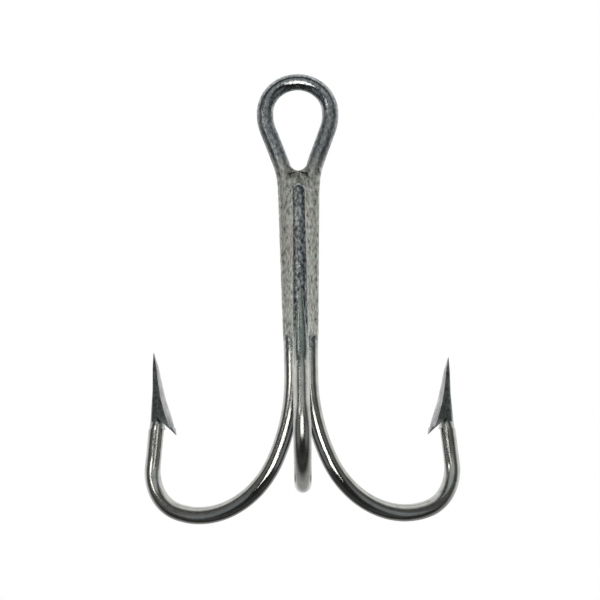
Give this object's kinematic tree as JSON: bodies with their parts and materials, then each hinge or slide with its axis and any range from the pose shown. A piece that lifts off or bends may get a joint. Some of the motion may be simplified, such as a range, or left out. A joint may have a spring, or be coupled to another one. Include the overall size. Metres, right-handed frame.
{
  "type": "treble hook",
  "caption": "Large treble fishing hook: paired wire shanks end in a teardrop eye, a further shank is soldered between them, and each bend rises to a barbed spear point.",
  "frame": {"origin": "centre of the eye's round top, in the middle plane of the eye's wire", "axes": "+Z along the shank from the bends towards the eye; the eye lies in the XZ plane; the single hook points to -Y"},
  "size_m": [0.038, 0.0329, 0.054],
  "materials": {
    "hook_wire": "polished hook wire with a dark bright-tin coat",
    "solder": "matte cast tin solder, mottled and slightly pitted"
  },
  "bodies": {
    "root": {"double_hook_wire": "hook_wire", "single_hook_wire": "hook_wire", "braze_left_fillet": "solder", "braze_right_fillet": "solder", "braze_core": "solder"}
  },
  "joints": []
}
